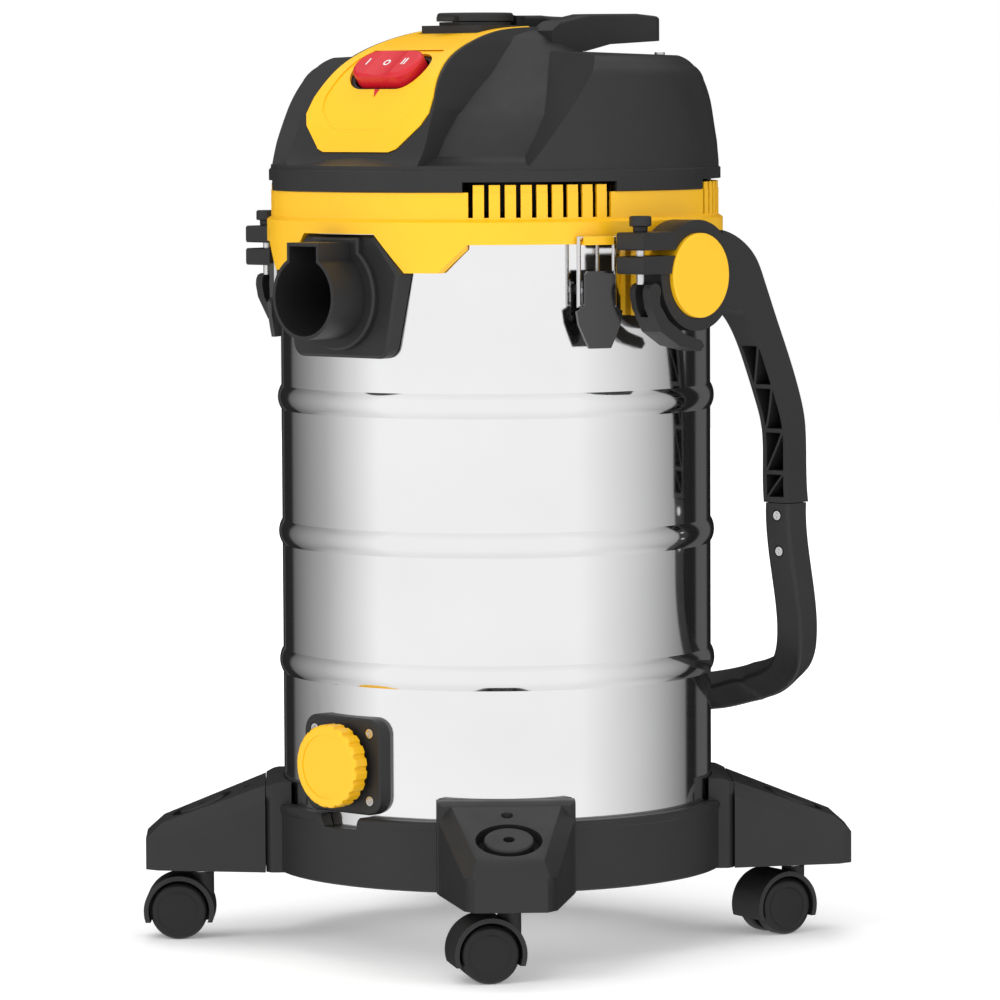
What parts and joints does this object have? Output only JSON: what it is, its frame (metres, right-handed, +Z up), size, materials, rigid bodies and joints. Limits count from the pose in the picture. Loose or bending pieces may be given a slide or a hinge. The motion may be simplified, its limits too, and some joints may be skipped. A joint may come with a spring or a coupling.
{
  "type": "shop vacuum",
  "caption": "wet and dry shop vacuum with a polished steel drum, powered head, folding push handle, draw latches and swivelling casters",
  "frame": {"origin": "on the floor, under the drum's axis", "axes": "+Z up, the hose inlet and the drain face -Y, +X to the right seen from the front"},
  "size_m": [0.3832, 0.3833, 0.646],
  "materials": {
    "polished_steel": "polished",
    "steel": "satin",
    "yellow_plastic": "satin",
    "black_plastic": "matte",
    "gloss_black": "gloss",
    "red_plastic": "gloss",
    "rubber": "matte",
    "motor_metal": "matte",
    "white_plastic": "matte",
    "filter_paper": "matte"
  },
  "bodies": {
    "vacuum": {"appliance_socket": "black_plastic", "base_ring": "black_plastic", "carry_handle": "black_plastic", "collar": "yellow_plastic", "control_panel": "yellow_plastic", "cord_gland": "rubber", "drain_flange": "black_plastic", "drum": "polished_steel", "drum_screws": "steel", "fan_housing": "black_plastic", "filter_cage": "black_plastic", "filter_cartridge": "filter_paper", "filter_retainer": "black_plastic", "foot_front_left": "black_plastic", "foot_front_right": "black_plastic", "foot_rear_left": "black_plastic", "foot_rear_right": "black_plastic", "head_screws": "steel", "intake_deflector": "black_plastic", "intake_gasket": "rubber", "intake_port": "black_plastic", "latch_brackets": "black_plastic", "latch_pins": "steel", "motor": "motor_metal", "pivot_caps": "yellow_plastic", "rim_gasket": "rubber", "top_cover": "black_plastic"},
    "power_switch": {"power_switch": "red_plastic"},
    "socket_lid": {"socket_lid": "black_plastic"},
    "drain_seal": {"drain_seal": "rubber"},
    "drain_cap": {"drain_cap": "yellow_plastic"},
    "impeller": {"impeller": "white_plastic"},
    "shutoff_float": {"shutoff_float": "white_plastic"},
    "push_handle": {"handle_arm_left": "black_plastic", "handle_arm_right": "black_plastic", "handle_u_bar": "black_plastic", "handle_fasteners": "steel", "clamp_knobs": "black_plastic"},
    "cam_lever_left": {"cam_lever_left": "black_plastic"},
    "cam_lever_right": {"cam_lever_right": "black_plastic"},
    "latch_lever_left": {"latch_lever_left": "gloss_black"},
    "latch_bail_left": {"latch_bail_left": "steel"},
    "latch_lever_right": {"latch_lever_right": "gloss_black"},
    "latch_bail_right": {"latch_bail_right": "steel"},
    "caster_front_right": {"caster_hood_front_right": "black_plastic", "caster_pins_front_right": "steel"},
    "wheel_front_right_left": {"caster_wheel_front_right_left": "black_plastic"},
    "wheel_front_right_right": {"caster_wheel_front_right_right": "black_plastic"},
    "caster_rear_right": {"caster_hood_rear_right": "black_plastic", "caster_pins_rear_right": "steel"},
    "wheel_rear_right_left": {"caster_wheel_rear_right_left": "black_plastic"},
    "wheel_rear_right_right": {"caster_wheel_rear_right_right": "black_plastic"},
    "caster_rear_left": {"caster_hood_rear_left": "black_plastic", "caster_pins_rear_left": "steel"},
    "wheel_rear_left_left": {"caster_wheel_rear_left_left": "black_plastic"},
    "wheel_rear_left_right": {"caster_wheel_rear_left_right": "black_plastic"},
    "caster_front_left": {"caster_hood_front_left": "black_plastic", "caster_pins_front_left": "steel"},
    "wheel_front_left_left": {"caster_wheel_front_left_left": "black_plastic"},
    "wheel_front_left_right": {"caster_wheel_front_left_right": "black_plastic"}
  },
  "joints": [
    {"name": "swivel_front_right", "type": "hinge", "parent": "vacuum", "child": "caster_front_right", "pos_m": [0.14708, -0.14708, 0.045], "axis": [0, 0, 1], "continuous": true},
    {"name": "roll_front_right_left", "type": "hinge", "parent": "caster_front_right", "child": "wheel_front_right_left", "pos_m": [0.1379, -0.16018, 0.02], "axis": [-0.8192, 0.5736, 0], "continuous": true},
    {"name": "roll_front_right_right", "type": "hinge", "parent": "caster_front_right", "child": "wheel_front_right_right", "pos_m": [0.1379, -0.16018, 0.02], "axis": [-0.8192, 0.5736, 0], "continuous": true},
    {"name": "swivel_rear_right", "type": "hinge", "parent": "vacuum", "child": "caster_rear_right", "pos_m": [0.14708, 0.14708, 0.045], "axis": [0, 0, 1], "continuous": true},
    {"name": "roll_rear_right_left", "type": "hinge", "parent": "caster_rear_right", "child": "wheel_rear_right_left", "pos_m": [0.14294, 0.13162, 0.02], "axis": [-0.9659, 0.2588, 0], "continuous": true},
    {"name": "roll_rear_right_right", "type": "hinge", "parent": "caster_rear_right", "child": "wheel_rear_right_right", "pos_m": [0.14294, 0.13162, 0.02], "axis": [-0.9659, 0.2588, 0], "continuous": true},
    {"name": "swivel_rear_left", "type": "hinge", "parent": "vacuum", "child": "caster_rear_left", "pos_m": [-0.14708, 0.14708, 0.045], "axis": [0, 0, 1], "continuous": true},
    {"name": "roll_rear_left_left", "type": "hinge", "parent": "caster_rear_left", "child": "wheel_rear_left_left", "pos_m": [-0.14161, 0.13204, 0.02], "axis": [-0.9397, -0.342, 0], "continuous": true},
    {"name": "roll_rear_left_right", "type": "hinge", "parent": "caster_rear_left", "child": "wheel_rear_left_right", "pos_m": [-0.14161, 0.13204, 0.02], "axis": [-0.9397, -0.342, 0], "continuous": true},
    {"name": "swivel_front_left", "type": "hinge", "parent": "vacuum", "child": "caster_front_left", "pos_m": [-0.14708, -0.14708, 0.045], "axis": [0, 0, 1], "continuous": true},
    {"name": "roll_front_left_left", "type": "hinge", "parent": "caster_front_left", "child": "wheel_front_left_left", "pos_m": [-0.15878, -0.15799, 0.02], "axis": [-0.682, 0.7314, 0], "continuous": true},
    {"name": "roll_front_left_right", "type": "hinge", "parent": "caster_front_left", "child": "wheel_front_left_right", "pos_m": [-0.15878, -0.15799, 0.02], "axis": [-0.682, 0.7314, 0], "continuous": true},
    {"name": "latch_left", "type": "hinge", "parent": "vacuum", "child": "latch_lever_left", "pos_m": [-0.14881, -0.06012, 0.458], "axis": [-0.3746, 0.9272, 0], "range_deg": [0, 60]},
    {"name": "bail_left", "type": "hinge", "parent": "latch_lever_left", "child": "latch_bail_left", "pos_m": [-0.14946, -0.06039, 0.448], "axis": [-0.3746, 0.9272, 0], "range_deg": [-60, 60]},
    {"name": "clamp_left", "type": "hinge", "parent": "push_handle", "child": "cam_lever_left", "pos_m": [-0.178, -0.044, 0.457], "axis": [-1, 0, 0], "range_deg": [0, 100]},
    {"name": "latch_right", "type": "hinge", "parent": "vacuum", "child": "latch_lever_right", "pos_m": [0.14881, -0.06012, 0.458], "axis": [-0.3746, -0.9272, 0], "range_deg": [0, 60]},
    {"name": "bail_right", "type": "hinge", "parent": "latch_lever_right", "child": "latch_bail_right", "pos_m": [0.14946, -0.06039, 0.448], "axis": [-0.3746, -0.9272, 0], "range_deg": [-60, 60]},
    {"name": "clamp_right", "type": "hinge", "parent": "push_handle", "child": "cam_lever_right", "pos_m": [0.178, -0.044, 0.457], "axis": [-1, 0, 0], "range_deg": [0, 100]},
    {"name": "handle_fold", "type": "hinge", "parent": "vacuum", "child": "push_handle", "pos_m": [0, 0, 0.467], "axis": [1, 0, 0], "range_deg": [0, 135]},
    {"name": "power_rock", "type": "hinge", "parent": "vacuum", "child": "power_switch", "pos_m": [0, -0.104, 0.6075], "axis": [0, 0.7986, 0.6018], "range_deg": [-9, 9]},
    {"name": "socket_lid_hinge", "type": "hinge", "parent": "vacuum", "child": "socket_lid", "pos_m": [0, 0.0105, 0.6412], "axis": [-1, 0, 0], "range_deg": [0, 100], "stiffness_Nm_per_rad": 0.05, "springref_deg": -17.19},
    {"name": "drain_thread", "type": "slide", "parent": "vacuum", "child": "drain_seal", "axis": [0, -1, 0], "range_m": [0, 0.0045]},
    {"name": "drain_turn", "type": "hinge", "parent": "drain_seal", "child": "drain_cap", "pos_m": [0, -0.166, 0.134], "axis": [0, -1, 0], "range_deg": [0, 540]},
    {"name": "fan_spin", "type": "hinge", "parent": "vacuum", "child": "impeller", "pos_m": [0, 0, 0.52], "axis": [0, 0, 1], "continuous": true},
    {"name": "float_rise", "type": "slide", "parent": "vacuum", "child": "shutoff_float", "axis": [0, 0, 1], "range_m": [0, 0.12]}
  ],
  "couplings": [
    {"joint": "bail_left", "follows": "latch_left", "ratio": -0.82},
    {"joint": "bail_right", "follows": "latch_right", "ratio": -0.82},
    {"joint": "drain_thread", "follows": "drain_turn", "m_per_rad": 0.000477}
  ]
}
